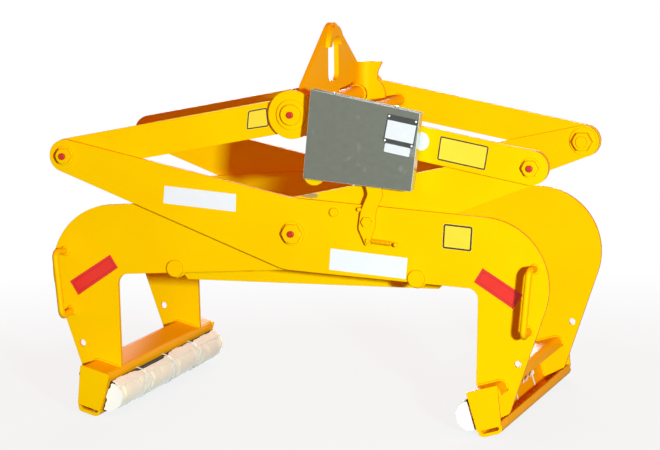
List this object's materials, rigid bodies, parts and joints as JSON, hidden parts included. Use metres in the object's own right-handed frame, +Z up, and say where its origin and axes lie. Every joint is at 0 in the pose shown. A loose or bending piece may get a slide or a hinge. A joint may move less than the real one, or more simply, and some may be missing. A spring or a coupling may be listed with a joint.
{
  "type": "block lifting clamp",
  "caption": "Scissor clamp for lifting concrete blocks: boomerang jaw plates with padded shoes, links to a slotted eye bracket, side handles and an automatic catch.",
  "frame": {"origin": "on the floor under the middle of the clamp, at the foot of the bounding box", "axes": "+X to the right jaw as seen from the handles, +Y away from the handles, +Z up to the eye"},
  "size_m": [1.2896, 0.8, 0.9687],
  "materials": {
    "yellow_paint": "glossy yellow machine paint on steel plate",
    "hardware_paint": "yellow paint over hex bolts, nuts and washers",
    "bare_steel": "bright zinc-plated steel",
    "galvanised": "dull galvanised sheet",
    "plate_white": "blank printed aluminium plate",
    "cap_red": "red grease caps",
    "pad_cream": "cream padded textile",
    "pad_rubber": "black rubber strip",
    "tie_white": "white plastic ties"
  },
  "bodies": {
    "head": {"hook_bracket": "yellow_paint", "head_tube": "yellow_paint", "head_pin": "hardware_paint", "head_washers": "hardware_paint", "head_nut": "hardware_paint", "head_cap": "cap_red"},
    "left_link": {"left_link_front": "yellow_paint", "left_link_rear": "yellow_paint", "left_link_bar": "yellow_paint"},
    "right_link": {"right_link_front": "yellow_paint", "right_link_rear": "yellow_paint", "right_link_bar": "yellow_paint", "right_link_bolts": "hardware_paint", "right_link_nuts": "hardware_paint", "right_link_washers": "hardware_paint", "right_link_cap": "cap_red", "catch_cover": "galvanised", "cover_brackets": "galvanised", "cover_screws": "bare_steel", "name_plate": "plate_white", "tag_plate": "plate_white", "plate_rivets": "bare_steel", "catch_keeper": "yellow_paint", "trip_bolt": "hardware_paint"},
    "right_jaw": {"right_plate_front": "yellow_paint", "right_plate_rear": "yellow_paint", "right_cross_bar": "yellow_paint", "strap_collars": "yellow_paint", "right_shoe": "yellow_paint", "right_shoe_ends": "yellow_paint", "right_rubber": "pad_rubber", "right_sleeve": "pad_cream", "right_ties": "tie_white", "right_handle": "yellow_paint", "right_jaw_bolts": "hardware_paint", "right_jaw_nuts": "hardware_paint", "right_jaw_washers": "hardware_paint", "right_jaw_caps": "cap_red", "lever_bolt": "hardware_paint", "stop_pin": "yellow_paint", "stop_boss": "yellow_paint", "plate_stud": "hardware_paint", "catch_spring": "hardware_paint"},
    "left_jaw": {"left_plate_front": "yellow_paint", "left_plate_rear": "yellow_paint", "left_cross_bar": "yellow_paint", "left_shoe": "yellow_paint", "left_shoe_ends": "yellow_paint", "left_rubber": "pad_rubber", "left_sleeve": "pad_cream", "left_ties": "tie_white", "left_handle": "yellow_paint"},
    "straps": {"opening_straps": "yellow_paint"},
    "lever": {"catch_lever": "yellow_paint", "lever_stud": "hardware_paint"},
    "trip": {"trip_bar": "yellow_paint"}
  },
  "joints": [
    {"name": "left_link_hinge", "type": "hinge", "parent": "head", "child": "left_link", "pos_m": [0, 0, 0.76318], "axis": [0, -1, 0], "range_deg": [0, 26.04]},
    {"name": "right_jaw_hinge", "type": "hinge", "parent": "left_link", "child": "right_jaw", "pos_m": [-0.6, 0, 0.64718], "axis": [0, 1, 0], "range_deg": [0, 47.9]},
    {"name": "jaw_hinge", "type": "hinge", "parent": "right_jaw", "child": "left_jaw", "pos_m": [0, 0, 0.46968], "axis": [0, -1, 0], "range_deg": [0, 43.68]},
    {"name": "right_link_hinge", "type": "hinge", "parent": "left_jaw", "child": "right_link", "pos_m": [0.6, 0, 0.64718], "axis": [0, 1, 0], "range_deg": [0, 47.9]},
    {"name": "strap_hinge", "type": "hinge", "parent": "right_jaw", "child": "straps", "pos_m": [0.31503, 0, 0.36872], "axis": [0, -1, 0], "range_deg": [0, 21.9]},
    {"name": "lever_hinge", "type": "hinge", "parent": "right_jaw", "child": "lever", "pos_m": [0.194, -0.3263, 0.50568], "axis": [0, 1, 0], "range_deg": [0, 14], "stiffness_Nm_per_rad": 2.1, "springref_deg": -24.64, "deforming": ["catch_spring"]},
    {"name": "trip_hinge", "type": "hinge", "parent": "right_link", "child": "trip", "pos_m": [0.06493, -0.3263, 0.72761], "axis": [0, 1, 0], "range_deg": [-20, 25]}
  ],
  "couplings": [
    {"joint": "left_link_hinge", "follows": "jaw_hinge", "ratio": 0.59524},
    {"joint": "right_jaw_hinge", "follows": "jaw_hinge", "ratio": 1.0952},
    {"joint": "right_link_hinge", "follows": "jaw_hinge", "ratio": 1.0952},
    {"joint": "strap_hinge", "follows": "jaw_hinge", "ratio": 0.5}
  ]
}
